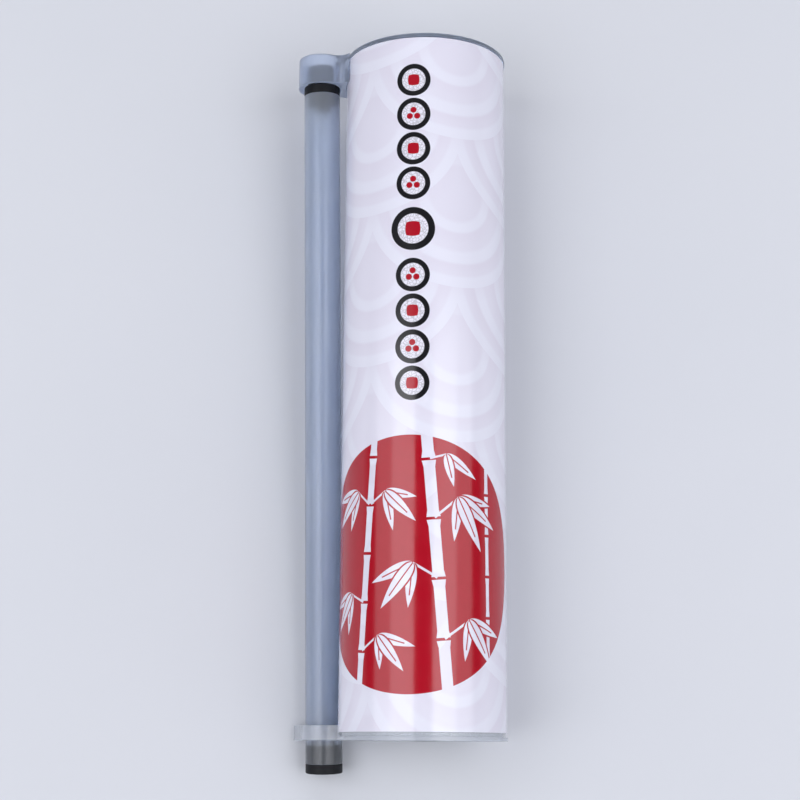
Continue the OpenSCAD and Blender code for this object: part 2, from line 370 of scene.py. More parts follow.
def spread(tree, value, low, high, to_low, to_high):
    """A value carried from one range to another, held at its ends."""
    return put(tree, "ShaderNodeMapRange", {0: value, 1: low, 2: high, 3: to_low, 4: to_high}).outputs[0]


def colour(red, green, blue):
    """A colour from its everyday 0 to 255 numbers."""
    def straight(part):
        part /= 255
        return part / 12.92 if part <= 0.04045 else ((part + 0.055) / 1.055) ** 2.4
    return straight(red), straight(green), straight(blue), 1


def finish(name):
    """A new material with its shader, and its tree to lay nodes in."""
    material = bpy.data.materials.new(name)
    material.use_nodes = True
    tree = material.node_tree
    return material, tree, tree.nodes["Principled BSDF"]


def lead(tree, shader, **links):
    """Links sockets to the shader's inputs of the same names."""
    for name, socket in links.items():
        tree.links.new(socket, shader.inputs[name.replace("_", " ")])


def fix(shader, **values):
    """Sets constants on the shader's own inputs."""
    for name, value in values.items():
        shader.inputs[name.replace("_", " ")].default_value = value


def object_place(tree, scale=(1, 1, 1), turn=(0, 0, 0)):
    """Where a point is on its piece, stretched and turned for a pattern."""
    spot = put(tree, "ShaderNodeTexCoord").outputs["Object"]
    return put(tree, "ShaderNodeMapping", {"Vector": spot, "Scale": scale, "Rotation": turn}).outputs[0]


def noise(tree, spot, scale, detail=2.0):
    """Soft clouds."""
    return put(tree, "ShaderNodeTexNoise", {"Vector": spot, "Scale": scale, "Detail": detail}).outputs["Fac"]


def bump(tree, shader, height, strength, distance):
    """A relief in the shader's normal."""
    node = put(tree, "ShaderNodeBump", {"Height": height, "Strength": strength, "Distance": distance})
    lead(tree, shader, Normal=node.outputs[0])


# The print on the wrap, drawn in millimetres: U runs round from the line on top, V up from the wrap's edge

PRINT_SPAN = 200.0
INK_EDGE = 12.0
WHITE, BLACK, RICE_LINE = colour(232, 230, 242), colour(20, 20, 24), colour(198, 196, 206)
RED_DEEP, RED_LIGHT = colour(166, 4, 28), colour(176, 8, 34)
SUN_U, SUN_V, SUN_R = -4.4, 43.9, 34.4

# Pale scales: their size, where the pattern starts, and their rings as share of the radius and tone
SCALE_FIELD, SCALE_BAND = colour(221, 216, 231), colour(230, 230, 243)
SCALE_R, SCALE_ROW, SCALE_WIDE = 26.9, 21.5, 50.0
SCALE_SHIFT_U, SCALE_SHIFT_V = 16.0, 4.0
SCALE_RINGS = ((0.0, 0.5), (0.28, 0.5), (0.34, 1.0), (0.4, 1.0), (0.44, 0.35), (0.59, 0.55), (0.65, 1.0),
               (0.73, 1.0), (0.77, 0.3), (0.86, 0.5), (0.91, 1.0), (1.0, 1.0))
LAP_SHADOW_WIDE, LAP_SHADOW = 4.0, 0.65

# Cut rolls: their places, and their rings, block and dots as shares of a roll's radius
ROLL_U, ROLL_PITCH, ROLL_R = -3.6, 10.1, 4.8
ROLLS_LOW, ROLLS_HIGH, ROLLS_EACH = 87.4, 144.0, 4
BIG_ROLL_V, BIG_ROLL_R = 135.9, 6.2
RICE_R, BLOCK_R, BLOCK_SQUARE, DOT_R, DOT_OUT = 0.7, 0.35, 0.6, 0.19, 0.25
GRAIN_SCALE, GRAIN_LINE = 1.1, 0.09

# Bamboo on the sun, from its middle. Stems: foot across, foot up, heading, length, width, spacing of joints
STEMS = (
    (24.0, -36.0, 91.0, 76.0, 1.3, 11.0), (-15.0, -36.0, 86.0, 76.0, 2.1, 13.0),
    (11.0, -36.0, 95.0, 76.0, 3.2, 16.0), (6.8, 11.8, 40.0, 9.0, 0.7, 40.0),
    (8.2, -4.1, 150.0, 8.0, 0.7, 40.0), (-11.4, 15.9, 140.0, 6.0, 0.6, 40.0),
    (-11.4, 15.9, 35.0, 6.0, 0.6, 40.0), (-13.2, -10.1, 155.0, 6.0, 0.6, 40.0),
    (-14.1, -23.0, 35.0, 7.0, 0.6, 40.0), (9.6, -20.1, 35.0, 9.0, 0.7, 40.0),
    (5.4, 27.8, 15.0, 5.0, 0.6, 40.0),
)
JOINT_GAP, JOINT_NEAR, JOINT_FAR, JOINT_HALF, STEM_HALF = 0.35, 0.3, 2.2, 0.62, 0.5
# Leaves: root across, root up, heading, length, width
LEAVES = (
    (10.2, 29.1, 325, 11.0, 2.8), (10.2, 29.1, 284, 9.0, 2.6),
    (13.7, 17.6, 352, 11.0, 2.8), (13.7, 17.6, 264, 12.0, 3.0), (13.7, 17.6, 328, 15.0, 3.5),
    (13.7, 17.6, 297, 16.0, 3.7),
    (1.3, -0.1, 203, 13.0, 3.2), (1.3, -0.1, 264, 12.0, 3.0), (1.3, -0.1, 233, 15.0, 3.6),
    (-16.0, 19.8, 188, 12.0, 3.0), (-16.0, 19.8, 252, 11.0, 2.8), (-16.0, 19.8, 220, 14.0, 3.4),
    (-6.5, 19.3, 349, 9.0, 2.6), (-6.5, 19.3, 282, 11.0, 2.8), (-6.5, 19.3, 316, 12.0, 3.2),
    (-18.6, -7.6, 198, 11.0, 2.9), (-18.6, -7.6, 262, 11.0, 2.8), (-18.6, -7.6, 230, 13.0, 3.3),
    (-8.4, -19.0, 344, 11.0, 2.8), (-8.4, -19.0, 274, 9.0, 2.6), (-8.4, -19.0, 308, 12.0, 3.2),
    (17.0, -14.9, 340, 12.0, 3.0), (17.0, -14.9, 263, 11.0, 2.8), (17.0, -14.9, 303, 14.0, 3.5),
)
LEAF_SWELL, LEAF_GAP, VEIN_HALF, VEIN_END = 1.3, 0.45, 0.13, 0.72
INK_INPUTS = {"Before": "Float", "Spot": "Vector", "Root": "Vector", "Heading": "Float", "Length": "Float",
              "Width": "Float"}


def over(tree, more, less):
    """Ink where one number is over another, with a fine soft edge."""
    return calc(tree, "MULTIPLY", calc(tree, "SUBTRACT", more, less), INK_EDGE, clamp=True)


def turned_spot(tree, given):
    """A group's spot seen from its root and along its heading: how far along, and how far across."""
    turned = put(tree, "ShaderNodeVectorRotate",
                 {"Vector": given["Spot"], "Center": given["Root"], "Angle": given["Heading"]},
                 rotation_type="Z_AXIS", invert=True).outputs[0]
    return parts(tree, vector_calc(tree, "SUBTRACT", turned, given["Root"]))


def leaf_ink():
    """Node group: the ink of one long pointed leaf with its vein left open, over what was inked before it."""
    tree, given, _ = node_group("bamboo_leaf", "ShaderNodeTree", INK_INPUTS, {"Ink": "Float"})
    along, across, _ = turned_spot(tree, given)
    share = calc(tree, "DIVIDE", along, given["Length"], clamp=True)
    swell = calc(tree, "MULTIPLY", calc(tree, "SQRT", share), calc(tree, "SUBTRACT", 1.0, share))
    half = calc(tree, "MULTIPLY", calc(tree, "MULTIPLY", swell, LEAF_SWELL), given["Width"])
    away = calc(tree, "ABSOLUTE", across)
    vein = calc(tree, "MAXIMUM", over(tree, away, VEIN_HALF), calc(tree, "GREATER_THAN", share, VEIN_END))
    gap = over(tree, calc(tree, "ADD", half, LEAF_GAP), away)
    gap = calc(tree, "MULTIPLY", gap, calc(tree, "GREATER_THAN", swell, 0.0))
    under = calc(tree, "MULTIPLY", given["Before"], calc(tree, "SUBTRACT", 1.0, gap))
    blade = calc(tree, "MULTIPLY", over(tree, half, away), vein)
    put(tree, "NodeGroupOutput", {"Ink": calc(tree, "MAXIMUM", under, blade)})
    return tree


def stem_ink():
    """Node group: the ink of one straight stem, open at its joints and a little thicker beside them."""
    tree, given, _ = node_group("bamboo_stem", "ShaderNodeTree", INK_INPUTS | {"Joints": "Float"},
                                {"Ink": "Float"})
    along, across, _ = turned_spot(tree, given)
    to_joint = calc(tree, "PINGPONG", along, calc(tree, "MULTIPLY", given["Joints"], 0.5))
    half = calc(tree, "MULTIPLY", given["Width"],
                spread(tree, to_joint, JOINT_NEAR, JOINT_FAR, JOINT_HALF, STEM_HALF))
    wall = over(tree, half, calc(tree, "ABSOLUTE", across))
    ends = calc(tree, "MULTIPLY", calc(tree, "GREATER_THAN", along, 0.0),
                calc(tree, "LESS_THAN", along, given["Length"]))
    ink = calc(tree, "MULTIPLY", calc(tree, "MULTIPLY", wall, over(tree, to_joint, JOINT_GAP)), ends)
    put(tree, "NodeGroupOutput", {"Ink": calc(tree, "MAXIMUM", given["Before"], ink)})
    return tree


def scale_row():
    """Node group: distance to the nearest middle of a scale in one row of scales."""
    tree, given, _ = node_group("scale_row", "ShaderNodeTree", {"U": "Float", "V": "Float", "Row": "Float"},
                                {"Away": "Float"})
    shift = calc(tree, "MULTIPLY", calc(tree, "FLOORED_MODULO", given["Row"], 2.0), SCALE_WIDE / 2)
    moved = calc(tree, "SUBTRACT", given["U"], shift)
    nearest = calc(tree, "ROUND", calc(tree, "DIVIDE", moved, SCALE_WIDE))
    across = calc(tree, "SUBTRACT", moved, calc(tree, "MULTIPLY", nearest, SCALE_WIDE))
    up = calc(tree, "SUBTRACT", given["V"], calc(tree, "MULTIPLY", given["Row"], SCALE_ROW))
    put(tree, "NodeGroupOutput", {"Away": length(tree, across, up)})
    return tree


def scale_tone(tree, u, v):
    """Tone of the pale hanging scales: each row laps over the row below it, like cut paper."""
    row_group = scale_row()
    top_row = calc(tree, "FLOOR", calc(tree, "DIVIDE", calc(tree, "ADD", v, SCALE_R), SCALE_ROW))
    away = []
    for step in (-1, 0, 1, 2):
        row = calc(tree, "SUBTRACT", top_row, float(step))
        facts = {"U": u, "V": v, "Row": row}
        away.append(put(tree, "ShaderNodeGroup", facts, node_tree=row_group).outputs[0])

    def choose(near, inner, outer):
        return mix(tree, calc(tree, "LESS_THAN", near, SCALE_R), outer, inner)

    middle = choose(away[1], away[1], choose(away[2], away[2], away[3]))
    over_second = calc(tree, "MINIMUM", away[0], away[1])
    over_third = calc(tree, "MINIMUM", over_second, away[2])
    lapping = choose(away[1], away[0], choose(away[2], over_second, over_third))
    ramp = put(tree, "ShaderNodeValToRGB", {0: calc(tree, "DIVIDE", middle, SCALE_R)})
    ramp.color_ramp.interpolation = "EASE"
    elements = ramp.color_ramp.elements
    while len(elements) < len(SCALE_RINGS):
        elements.new(0.5)
    for element, (spot, tone) in zip(elements, SCALE_RINGS):
        element.position = spot
        element.color = (tone, tone, tone, 1)
    past_edge = calc(tree, "SUBTRACT", lapping, SCALE_R)
    shadow = spread(tree, past_edge, 0.0, LAP_SHADOW_WIDE, LAP_SHADOW, 1.0)
    return calc(tree, "MULTIPLY", ramp.outputs[0], shadow)


def bamboo_ink(tree, spot):
    """Ink of all the stems and leaves on the sun, each over the ones before it."""
    leaf, stem = leaf_ink(), stem_ink()
    ink = 0.0
    for across, up, heading, reach, width, *joints in STEMS + LEAVES:
        facts = {"Before": ink, "Spot": spot, "Root": (SUN_U + across, SUN_V + up, 0),
                 "Heading": math.radians(heading), "Length": reach, "Width": width}
        if joints:
            facts["Joints"] = joints[0]
        ink = put(tree, "ShaderNodeGroup", facts, node_tree=stem if joints else leaf).outputs[0]
    return ink


def roll_ink():
    """Node group: the ink of a cut roll, as masks for its dark wrapper, its rice and its red filling."""
    tree, given, _ = node_group("cut_roll", "ShaderNodeTree",
                                {"Across": "Float", "Up": "Float", "Radius": "Float", "Dots": "Float"},
                                {"Wrapper": "Float", "Rice": "Float", "Filling": "Float"})
    across = calc(tree, "DIVIDE", given["Across"], given["Radius"])
    up = calc(tree, "DIVIDE", given["Up"], given["Radius"])
    edge = calc(tree, "MULTIPLY", given["Radius"], INK_EDGE)

    def within(limit, away):
        return calc(tree, "MULTIPLY", calc(tree, "SUBTRACT", limit, away), edge, clamp=True)

    away = length(tree, across, up)
    rice = within(RICE_R, away)
    wrapper = calc(tree, "SUBTRACT", within(1.0, away), rice, clamp=True)
    square = calc(tree, "MAXIMUM", calc(tree, "ABSOLUTE", across), calc(tree, "ABSOLUTE", up))
    block = calc(tree, "ADD", calc(tree, "MULTIPLY", square, BLOCK_SQUARE),
                 calc(tree, "MULTIPLY", away, 1 - BLOCK_SQUARE))
    third = 2 * math.pi / 3
    turn = calc(tree, "ADD", calc(tree, "ARCTAN2", across, up), third / 2)
    turn = calc(tree, "SUBTRACT", calc(tree, "FLOORED_MODULO", turn, third), third / 2)
    outward = calc(tree, "MULTIPLY", away, calc(tree, "COSINE", turn))
    sideways = calc(tree, "MULTIPLY", away, calc(tree, "SINE", turn))
    dot = length(tree, calc(tree, "SUBTRACT", outward, DOT_OUT), sideways)
    filling = mix(tree, given["Dots"], within(BLOCK_R, block), within(DOT_R, dot))
    put(tree, "NodeGroupOutput", {"Wrapper": wrapper, "Rice": rice, "Filling": filling})
    return tree


def roll_column(tree, u, v):
    """Ink of the column of cut rolls, four below and four above a larger one."""
    group = roll_ink()
    across = calc(tree, "SUBTRACT", u, ROLL_U)
    upper = calc(tree, "GREATER_THAN", v, BIG_ROLL_V)
    start = calc(tree, "MULTIPLY_ADD", upper, ROLLS_HIGH - ROLLS_LOW, ROLLS_LOW)
    climbed = calc(tree, "SUBTRACT", v, start)
    index = calc(tree, "FLOOR", calc(tree, "DIVIDE", climbed, ROLL_PITCH))
    index = calc(tree, "MINIMUM", calc(tree, "MAXIMUM", index, 0.0), ROLLS_EACH - 1.0)
    roll_middle = calc(tree, "MULTIPLY", calc(tree, "ADD", index, 0.5), ROLL_PITCH)
    dots = calc(tree, "FLOORED_MODULO", calc(tree, "ADD", index, upper), 2.0)
    small = {"Across": across, "Up": calc(tree, "SUBTRACT", climbed, roll_middle), "Radius": ROLL_R,
             "Dots": dots}
    big = {"Across": across, "Up": calc(tree, "SUBTRACT", v, BIG_ROLL_V), "Radius": BIG_ROLL_R}
    masks = [put(tree, "ShaderNodeGroup", facts, node_tree=group).outputs for facts in (small, big)]
    return [calc(tree, "MAXIMUM", one, other) for one, other in zip(*masks)]


# Finishes

FILM_IOR, PLASTIC_IOR = 1.56, 1.49
CLOUD_LOW, CLOUD_HIGH = 0.3, 0.7
FILM_ROUGH, BACK_ROUGH, TUBE_ROUGH = (0.12, 0.19), (0.5, 0.62), (0.5, 0.58)
BACK_DARK, BACK_LIGHT = colour(226, 224, 230), colour(238, 237, 241)
TUBE_DARK, TUBE_LIGHT = colour(227, 237, 252), colour(234, 242, 254)
TUBE_LOW, TUBE_HIGH, TUBE_LINES, TUBE_STRETCH = 0.35, 0.65, 0.4, (700, 14, 700)
TUBE_CLEAR, TUBE_COAT, TUBE_COAT_ROUGH = 0.93, 0.55, 0.15
FLOW_SCALE, SKIN_STRENGTH = 70.0, 0.25


def printed_film():
    """Glossy white film with its print."""
    material, tree, shader = finish("printed_film")
    sheet = put(tree, "ShaderNodeUVMap", uv_map="UVMap").outputs[0]
    spot = vector_calc(tree, "MULTIPLY_ADD", sheet, (PRINT_SPAN, PRINT_SPAN, 0), (-PRINT_SPAN / 2, 0, 0))
    u, v, _ = parts(tree, spot)
    scales = scale_tone(tree, calc(tree, "ADD", u, SCALE_SHIFT_U), calc(tree, "ADD", v, SCALE_SHIFT_V))
    paper = blend_colour(tree, scales, SCALE_FIELD, SCALE_BAND)
    sun = over(tree, SUN_R, vector_calc(tree, "DISTANCE", spot, (SUN_U, SUN_V, 0), output="Value"))
    sun = calc(tree, "MULTIPLY", sun, calc(tree, "SUBTRACT", 1.0, bamboo_ink(tree, spot)))
    wrapper, rice, filling = roll_column(tree, u, v)
    red = blend_colour(tree, noise(tree, spot, scale=0.35, detail=3.0), RED_DEEP, RED_LIGHT)
    seams = put(tree, "ShaderNodeTexVoronoi", {"Vector": spot, "Scale": GRAIN_SCALE},
                feature="DISTANCE_TO_EDGE").outputs[0]
    grains = calc(tree, "MULTIPLY", rice, calc(tree, "LESS_THAN", seams, GRAIN_LINE))
    inked = blend_colour(tree, rice, paper, WHITE)
    inked = blend_colour(tree, grains, inked, RICE_LINE)
    inked = blend_colour(tree, calc(tree, "MAXIMUM", sun, filling), inked, red)
    inked = blend_colour(tree, wrapper, inked, BLACK)
    rough = spread(tree, noise(tree, spot, scale=0.12, detail=4.0), CLOUD_LOW, CLOUD_HIGH, *FILM_ROUGH)
    lead(tree, shader, Base_Color=inked, Roughness=rough)
    fix(shader, IOR=FILM_IOR)
    bump(tree, shader, noise(tree, spot, scale=0.09), strength=0.12, distance=0.0004)
    return material


def film_back():
    """Bare back and edges of the film."""
    material, tree, shader = finish("film_back")
    fibre = noise(tree, object_place(tree), scale=900.0, detail=4.0)
    lead(tree, shader, Base_Color=blend_colour(tree, fibre, BACK_DARK, BACK_LIGHT),
         Roughness=spread(tree, fibre, CLOUD_LOW, CLOUD_HIGH, *BACK_ROUGH))
    return material


def moulded(name, dark, light, clear, rough, grain, depth, gloss=0.5, alpha=1.0):
    """Moulded plastic with faint flow clouds and a fine skin."""
    material, tree, shader = finish(name)
    spot = object_place(tree)
    flow = noise(tree, spot, FLOW_SCALE)
    tone = spread(tree, flow, CLOUD_LOW, CLOUD_HIGH, 0, 1)
    lead(tree, shader, Base_Color=blend_colour(tree, tone, dark, light),
         Roughness=spread(tree, flow, CLOUD_LOW, CLOUD_HIGH, *rough))
    fix(shader, Transmission_Weight=clear, IOR=PLASTIC_IOR, Specular_IOR_Level=gloss, Alpha=alpha)
    bump(tree, shader, noise(tree, spot, grain), SKIN_STRENGTH, depth)
    return material


def frosted_tube():
    """Milky drawn tube: faint lines run along it."""
    material, tree, shader = finish("frosted_tube")
    along = object_place(tree, TUBE_STRETCH, (0, 0, math.asin(stick_dir.x)))
    lines = noise(tree, along, scale=1.0)
    clouds = noise(tree, object_place(tree), scale=60.0)
    tone = calc(tree, "ADD", calc(tree, "MULTIPLY", lines, TUBE_LINES),
                calc(tree, "MULTIPLY", clouds, 1 - TUBE_LINES))
    milk = blend_colour(tree, spread(tree, tone, TUBE_LOW, TUBE_HIGH, 0, 1), TUBE_DARK, TUBE_LIGHT)
    lead(tree, shader, Base_Color=milk, Roughness=spread(tree, tone, TUBE_LOW, TUBE_HIGH, *TUBE_ROUGH))
    fix(shader, Transmission_Weight=TUBE_CLEAR, IOR=PLASTIC_IOR, Coat_Weight=TUBE_COAT,
        Coat_Roughness=TUBE_COAT_ROUGH)
    bump(tree, shader, lines, strength=0.1, distance=0.00005)
    return material


# Pieces

def grow(obj, tree, names, values):
    """Puts a node tree on an object, sets its inputs and turns the result into plain mesh."""
    modifier = obj.modifiers.new(tree.name, "NODES")
    modifier.node_group = tree
    for name, value in values.items():
        modifier[names[name]] = value
    return settle(obj)


def film_tree(print_finish, back_finish):
    """Node tree: a sheet rolled round the barrel, its two edges left open at a seam."""
    tree, given, names = node_group(
        "rolled_film", "GeometryNodeTree",
        {"Geometry": "Geometry", "Inner Radius": "Float", "Length": "Float", "Thickness": "Float",
         "Seam": "Float", "Middle Turn": "Float", "Start": "Float", "Axis": "Vector"},
        {"Geometry": "Geometry"})
    sweep = calc(tree, "SUBTRACT", 2 * math.pi, calc(tree, "DIVIDE", given["Seam"], given["Inner Radius"]))
    grid = put(tree, "GeometryNodeMeshGrid", {"Size X": sweep, "Size Y": given["Length"],
                                              "Vertices X": FILM_ROUND, "Vertices Y": FILM_UP})
    flat_x, flat_y, _ = parts(tree, put(tree, "GeometryNodeInputPosition").outputs[0])
    angle = calc(tree, "ADD", flat_x, given["Middle Turn"])
    climb = calc(tree, "ADD", flat_y, calc(tree, "MULTIPLY", given["Length"], 0.5))
    outer = calc(tree, "ADD", given["Inner Radius"], given["Thickness"])
    span = PRINT_SPAN * MM
    across = calc(tree, "ADD", calc(tree, "DIVIDE", calc(tree, "MULTIPLY", angle, outer), span), 0.5)
    sheet_spot = vector(tree, across, calc(tree, "DIVIDE", climb, span))
    stored = put(tree, "GeometryNodeStoreNamedAttribute",
                 {"Geometry": grid.outputs["Mesh"], "Name": "UVMap", "Value": sheet_spot},
                 data_type="FLOAT2", domain="CORNER")
    ring_x = calc(tree, "MULTIPLY", given["Inner Radius"], calc(tree, "SINE", angle))
    ring_z = calc(tree, "MULTIPLY", given["Inner Radius"], calc(tree, "COSINE", angle))
    round_spot = vector(tree, ring_x, calc(tree, "ADD", climb, given["Start"]), ring_z)
    laid = vector_calc(tree, "ADD", round_spot, given["Axis"])
    rolled = put(tree, "GeometryNodeSetPosition", {"Geometry": stored.outputs[0], "Position": laid})
    thick = put(tree, "GeometryNodeExtrudeMesh",
                {"Mesh": rolled.outputs[0], "Offset Scale": given["Thickness"], "Individual": False},
                mode="FACES")
    outside = put(tree, "GeometryNodeStoreNamedAttribute",
                  {"Geometry": thick.outputs["Mesh"], "Name": "printed", "Value": thick.outputs["Top"]},
                  data_type="BOOLEAN", domain="FACE")
    inside = put(tree, "GeometryNodeFlipFaces", {"Mesh": rolled.outputs[0]})
    joined = put(tree, "GeometryNodeJoinGeometry")
    for side in (inside, outside):
        tree.links.new(side.outputs[0], joined.inputs[0])
    closed = put(tree, "GeometryNodeMergeByDistance", {"Geometry": joined.outputs[0], "Distance": FILM_WELD})
    real = put(tree, "GeometryNodeRealizeInstances", {"Geometry": closed.outputs[0]})
    bare = put(tree, "GeometryNodeSetMaterial", {"Geometry": real.outputs[0], "Material": back_finish})
    printed = put(tree, "GeometryNodeInputNamedAttribute", {"Name": "printed"}, data_type="BOOLEAN")
    dressed = put(tree, "GeometryNodeSetMaterial",
                  {"Geometry": bare.outputs[0], "Selection": printed.outputs[0],
                   "Material": print_finish})
    put(tree, "NodeGroupOutput", {0: dressed.outputs[0]})
    return tree, names


def make_wrap():
    """Printed film, rolled in place."""
    tree, names = film_tree(printed_film(), film_back())
    wrap = link("wrap", bpy.data.meshes.new("wrap"))
    grow(wrap, tree, names, {"Inner Radius": WRAP_IN_R * MM, "Length": (WRAP_HIGH - WRAP_LOW) * MM,
                             "Thickness": WRAP_THICK * MM, "Seam": WRAP_SEAM * MM,
                             "Middle Turn": -math.radians(WRAP_SEAM_TURN),
                             "Start": base_y + WRAP_LOW * MM,
                             "Axis": (barrel_middle.x, 0.0, barrel_middle.z)})
    shade(wrap)
    place(wrap, Matrix.Identity(4), "tube", (), "printed_wrap")


def make_barrel(clear):
    """Clear tube under the film."""
    profile = eased([(BORE_R, BARREL_LOW), (BARREL_R, BARREL_LOW), (BARREL_R, BARREL_HIGH),
                     (BORE_R, BARREL_HIGH)], BARREL_EASE, True)
    barrel = shade(link("clear_barrel", turned_mesh("clear_barrel", profile, True)))
    place(barrel, LAY, "tube", (clear,), "barrel")


def make_top_ring(clear):
    """Ring at the mouth, with the collar that holds the top of the stick and a notch for a nail."""
    body = prism_mesh("top_ring", necked_outline(COLLAR_R, COLLAR_REACH), COLLAR_LOW, COLLAR_TOP)
    room_r = WRAP_R + WRAP_CLEAR
    skirt_low = BARREL_HIGH - RING_SKIRT
    notch_in = RING_IN_R + (LID_R - RING_IN_R) / 2
    notch = box_mesh("nail_notch", (notch_in, -NOTCH_WIDTH / 2, RING_TOP - NOTCH_DEPTH),
                     (FLANGE_R * 2, NOTCH_WIDTH / 2, RING_TOP + PAST), NOTCH_TURN)
    steps = (
        ("DIFFERENCE", drum("room_for_barrel", room_r, COLLAR_LOW - PAST, BARREL_HIGH)),
        ("DIFFERENCE", drum("room_for_lid", room_r, RING_TOP, COLLAR_TOP + PAST)),
        ("UNION", drum("skirt", SKIRT_R, skirt_low, BARREL_HIGH + LAP)),
        ("DIFFERENCE", drum("mouth", RING_IN_R, skirt_low - PAST, RING_TOP + PAST)),
        ("DIFFERENCE", drum("collar_bore", COLLAR_BORE_R, COLLAR_LOW - PAST, COLLAR_TOP + PAST, BORE_STEPS,
                            (-COLLAR_REACH, 0))),
        ("DIFFERENCE", notch),
    )
    ring = shade(carved("collar_ring", body, steps))
    ring.data.transform(Matrix.Rotation(-math.radians(COLLAR_TURN), 4, "Z"))
    place(ring, LAY, "tube", (clear,), "top_ring")


def make_base_ring(clear):
    """Ring at the open base, with the loop and ear that hold the foot of the stick."""
    body = prism_mesh("base_ring", necked_outline(LOOP_R, LOOP_REACH), 0, LOOP_LIFT + LOOP_HEIGHT)
    tip_r = EAR_WIDTH / 2
    tip_x = -LOOP_REACH - LOOP_R - EAR_REACH + tip_r
    root_x = -LOOP_REACH - LOOP_BORE_R - EAR_ROOT
    ear = arc((tip_x, 0), tip_r, math.pi / 2, 3 * math.pi / 2, EAR_STEPS)
    ear += [(root_x, -tip_r), (root_x, tip_r)]
    lift_in = FLANGE_R + LIFT_CLEAR
    lift = [(lift_in, -PAST), (LIFT_OUT, -PAST), (LIFT_OUT, LOOP_LIFT), (lift_in, LOOP_LIFT)]
    skirt_high = BASE_FLANGE + BASE_SKIRT
    over_loop = LOOP_HEIGHT + 2 * PAST
    steps = (
        ("UNION", prism_mesh("ear", ear, LOOP_LIFT - EAR_DROP, LOOP_LIFT + LOOP_HEIGHT - EAR_SINK)),
        ("DIFFERENCE", turned_mesh("lift", lift, True, HUB_STEPS)),
        ("DIFFERENCE", drum("room_for_barrel", WRAP_R + WRAP_CLEAR, BASE_FLANGE, over_loop)),
        ("UNION", drum("skirt", SKIRT_R, BASE_FLANGE - LAP, skirt_high)),
        ("DIFFERENCE", drum("opening", BASE_IN_R, -PAST, skirt_high + PAST)),
        ("DIFFERENCE", drum("loop_bore", LOOP_BORE_R, -PAST, over_loop, BORE_STEPS, (-LOOP_REACH, 0))),
    )
    ring = shade(carved("loop_ring", body, steps))
    ring.data.transform(Matrix.Rotation(-math.radians(LOOP_TURN), 4, "Z"))
    place(ring, LAY, "tube", (clear,), "base_ring")


def make_lid(clear):
    """Press-in lid with a sunk panel, a raised ring and a gate mark."""
    low = RING_TOP - LID_PLUG
    panel = LID_TOP - PANEL_DEPTH
    crest = panel + MARK_RISE
    profile = eased([(0, RING_TOP), (LID_PLUG_IN_R, RING_TOP, LID_ROOT_EASE), (LID_PLUG_IN_R, low),
                     (LID_PLUG_R, low, LID_TIP_EASE), (LID_PLUG_R, RING_TOP), (LID_R, RING_TOP),
                     (LID_R, LID_TOP, LID_RIM_EASE), (PANEL_R, LID_TOP), (PANEL_R - PANEL_SLOPE, panel),
                     (MARK_R + MARK_FOOT, panel), (MARK_R + MARK_CREST, crest), (MARK_R - MARK_CREST, crest),
                     (MARK_R - MARK_FOOT, panel), (GATE_R, panel), (GATE_R - GATE_SLOPE, crest), (0, crest)],
                    LID_EASE, False)
    lid = shade(link("press_lid", turned_mesh("press_lid", profile, False)))
    place(lid, LAY, "lid", (clear,), "lid")


def rib_tree(material):
    """Node tree: ribs and small pads set round inside a disc and made one with it."""
    tree, given, names = node_group(
        "disc_ribs", "GeometryNodeTree",
        {"Geometry": "Geometry", "Count": "Int", "From": "Float", "To": "Float", "Thickness": "Float",
         "Height": "Float", "Top": "Float", "Pad Radius": "Float", "Pad Height": "Float"},
        {"Geometry": "Geometry"})
    reach = calc(tree, "SUBTRACT", given["To"], given["From"])
    out = calc(tree, "MULTIPLY_ADD", reach, 0.5, given["From"])
    block = put(tree, "GeometryNodeMeshCube",
                {"Size": vector(tree, reach, given["Thickness"], given["Height"]),
                 "Vertices X": 2, "Vertices Y": 2, "Vertices Z": 2})
    pad = put(tree, "GeometryNodeMeshCylinder",
              {"Vertices": PAD_STEPS, "Radius": given["Pad Radius"], "Depth": given["Pad Height"]})
    points = put(tree, "GeometryNodePoints", {"Count": given["Count"]})
    step = calc(tree, "DIVIDE", 2 * math.pi, given["Count"])
    turn = calc(tree, "MULTIPLY", put(tree, "GeometryNodeInputIndex").outputs[0], step)
    between = calc(tree, "MULTIPLY_ADD", step, 0.5, turn)
    joined = put(tree, "GeometryNodeMeshBoolean", operation="UNION", solver="EXACT")
    for form, tall, heading in ((pad, "Pad Height", between), (block, "Height", turn)):
        drop = calc(tree, "MULTIPLY_ADD", given[tall], -0.5, given["Top"])
        moved = put(tree, "GeometryNodeTransform",
                    {"Geometry": form.outputs["Mesh"], "Translation": vector(tree, out, 0.0, drop)})
        spaced = put(tree, "GeometryNodeInstanceOnPoints",
                     {"Points": points.outputs[0], "Instance": moved.outputs[0],
                      "Rotation": vector(tree, 0.0, 0.0, heading)})
        tree.links.new(spaced.outputs[0], joined.inputs[1])
    tree.links.new(given["Geometry"], joined.inputs[1])
    merged = put(tree, "GeometryNodeMergeByDistance", {"Geometry": joined.outputs[0], "Distance": DISC_WELD})
    real = put(tree, "GeometryNodeRealizeInstances", {"Geometry": merged.outputs[0]})
    dressed = put(tree, "GeometryNodeSetMaterial", {"Geometry": real.outputs[0], "Material": material})
    put(tree, "NodeGroupOutput", {0: dressed.outputs[0]})
    return tree, names


